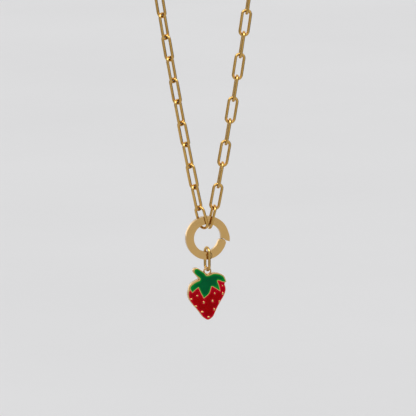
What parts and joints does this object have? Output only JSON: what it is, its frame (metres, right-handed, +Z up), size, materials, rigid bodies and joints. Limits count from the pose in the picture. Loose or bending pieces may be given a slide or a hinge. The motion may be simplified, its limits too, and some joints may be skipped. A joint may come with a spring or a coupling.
{
  "type": "charm necklace",
  "caption": "Gold paperclip-chain necklace with a round hinged ring clasp and a red and green enamel strawberry charm on an oval link.",
  "frame": {"origin": "top of the hanging loop, in the middle of the chain's wire, where it lies over what holds it up", "axes": "+Z up along the hanging necklace, +X across the loop to the right seen from the front, +Y from the front to the back"},
  "size_m": [0.0565, 0.0048, 0.2181],
  "materials": {
    "polished_gold": "polished",
    "pale_gold": "polished",
    "steel": "satin",
    "red_enamel": "gloss",
    "green_enamel": "gloss"
  },
  "bodies": {
    "chain": {"chain_link_01": "polished_gold", "chain_link_02": "polished_gold", "chain_link_03": "polished_gold", "chain_link_04": "polished_gold", "chain_link_05": "polished_gold", "chain_link_06": "polished_gold", "chain_link_07": "polished_gold", "chain_link_08": "polished_gold", "chain_link_09": "polished_gold", "chain_link_10": "polished_gold", "chain_link_11": "polished_gold", "chain_link_12": "polished_gold", "chain_link_13": "polished_gold", "chain_link_14": "polished_gold", "chain_link_15": "polished_gold", "chain_link_16": "polished_gold", "chain_link_17": "polished_gold", "chain_link_18": "polished_gold", "chain_link_19": "polished_gold", "chain_link_20": "polished_gold", "chain_link_21": "polished_gold", "chain_link_22": "polished_gold", "chain_link_23": "polished_gold", "chain_link_24": "polished_gold", "chain_link_25": "polished_gold", "chain_link_26": "polished_gold", "chain_link_27": "polished_gold", "chain_link_28": "polished_gold", "chain_link_29": "polished_gold", "chain_link_30": "polished_gold", "chain_link_31": "polished_gold", "chain_link_32": "polished_gold", "chain_link_33": "polished_gold", "chain_link_34": "polished_gold", "chain_link_35": "polished_gold", "chain_link_36": "polished_gold", "chain_link_37": "polished_gold", "chain_link_38": "polished_gold", "chain_link_39": "polished_gold", "chain_link_40": "polished_gold", "chain_link_41": "polished_gold", "chain_link_42": "polished_gold", "chain_link_43": "polished_gold", "chain_link_44": "polished_gold", "chain_link_45": "polished_gold", "chain_link_46": "polished_gold", "chain_link_47": "polished_gold", "chain_link_48": "polished_gold"},
    "ring": {"ring_body": "pale_gold", "gate_pin": "steel", "gate_spring": "steel", "end_link_left": "polished_gold", "end_link_right": "polished_gold"},
    "gate": {"gate": "pale_gold"},
    "connector": {"connector_link": "polished_gold"},
    "charm": {"charm_body": "pale_gold", "red_enamel": "red_enamel", "green_enamel": "green_enamel"}
  },
  "joints": [
    {"name": "ring_swing", "type": "hinge", "parent": "chain", "child": "ring", "pos_m": [0, 0, -0.17491], "axis": [1, 0, 0], "range_deg": [-20, 20]},
    {"name": "gate_hinge", "type": "hinge", "parent": "ring", "child": "gate", "pos_m": [0, 0, -0.19255], "axis": [0, 1, 0], "range_deg": [0, 40], "stiffness_Nm_per_rad": 0.0002, "springref_deg": -28.65},
    {"name": "connector_swing", "type": "hinge", "parent": "ring", "child": "connector", "pos_m": [0, 0, -0.19255], "axis": [1, 0, 0], "range_deg": [-12, 12]},
    {"name": "charm_swing", "type": "hinge", "parent": "connector", "child": "charm", "pos_m": [0, 0, -0.19798], "axis": [0, 1, 0], "range_deg": [-40, 40]}
  ]
}
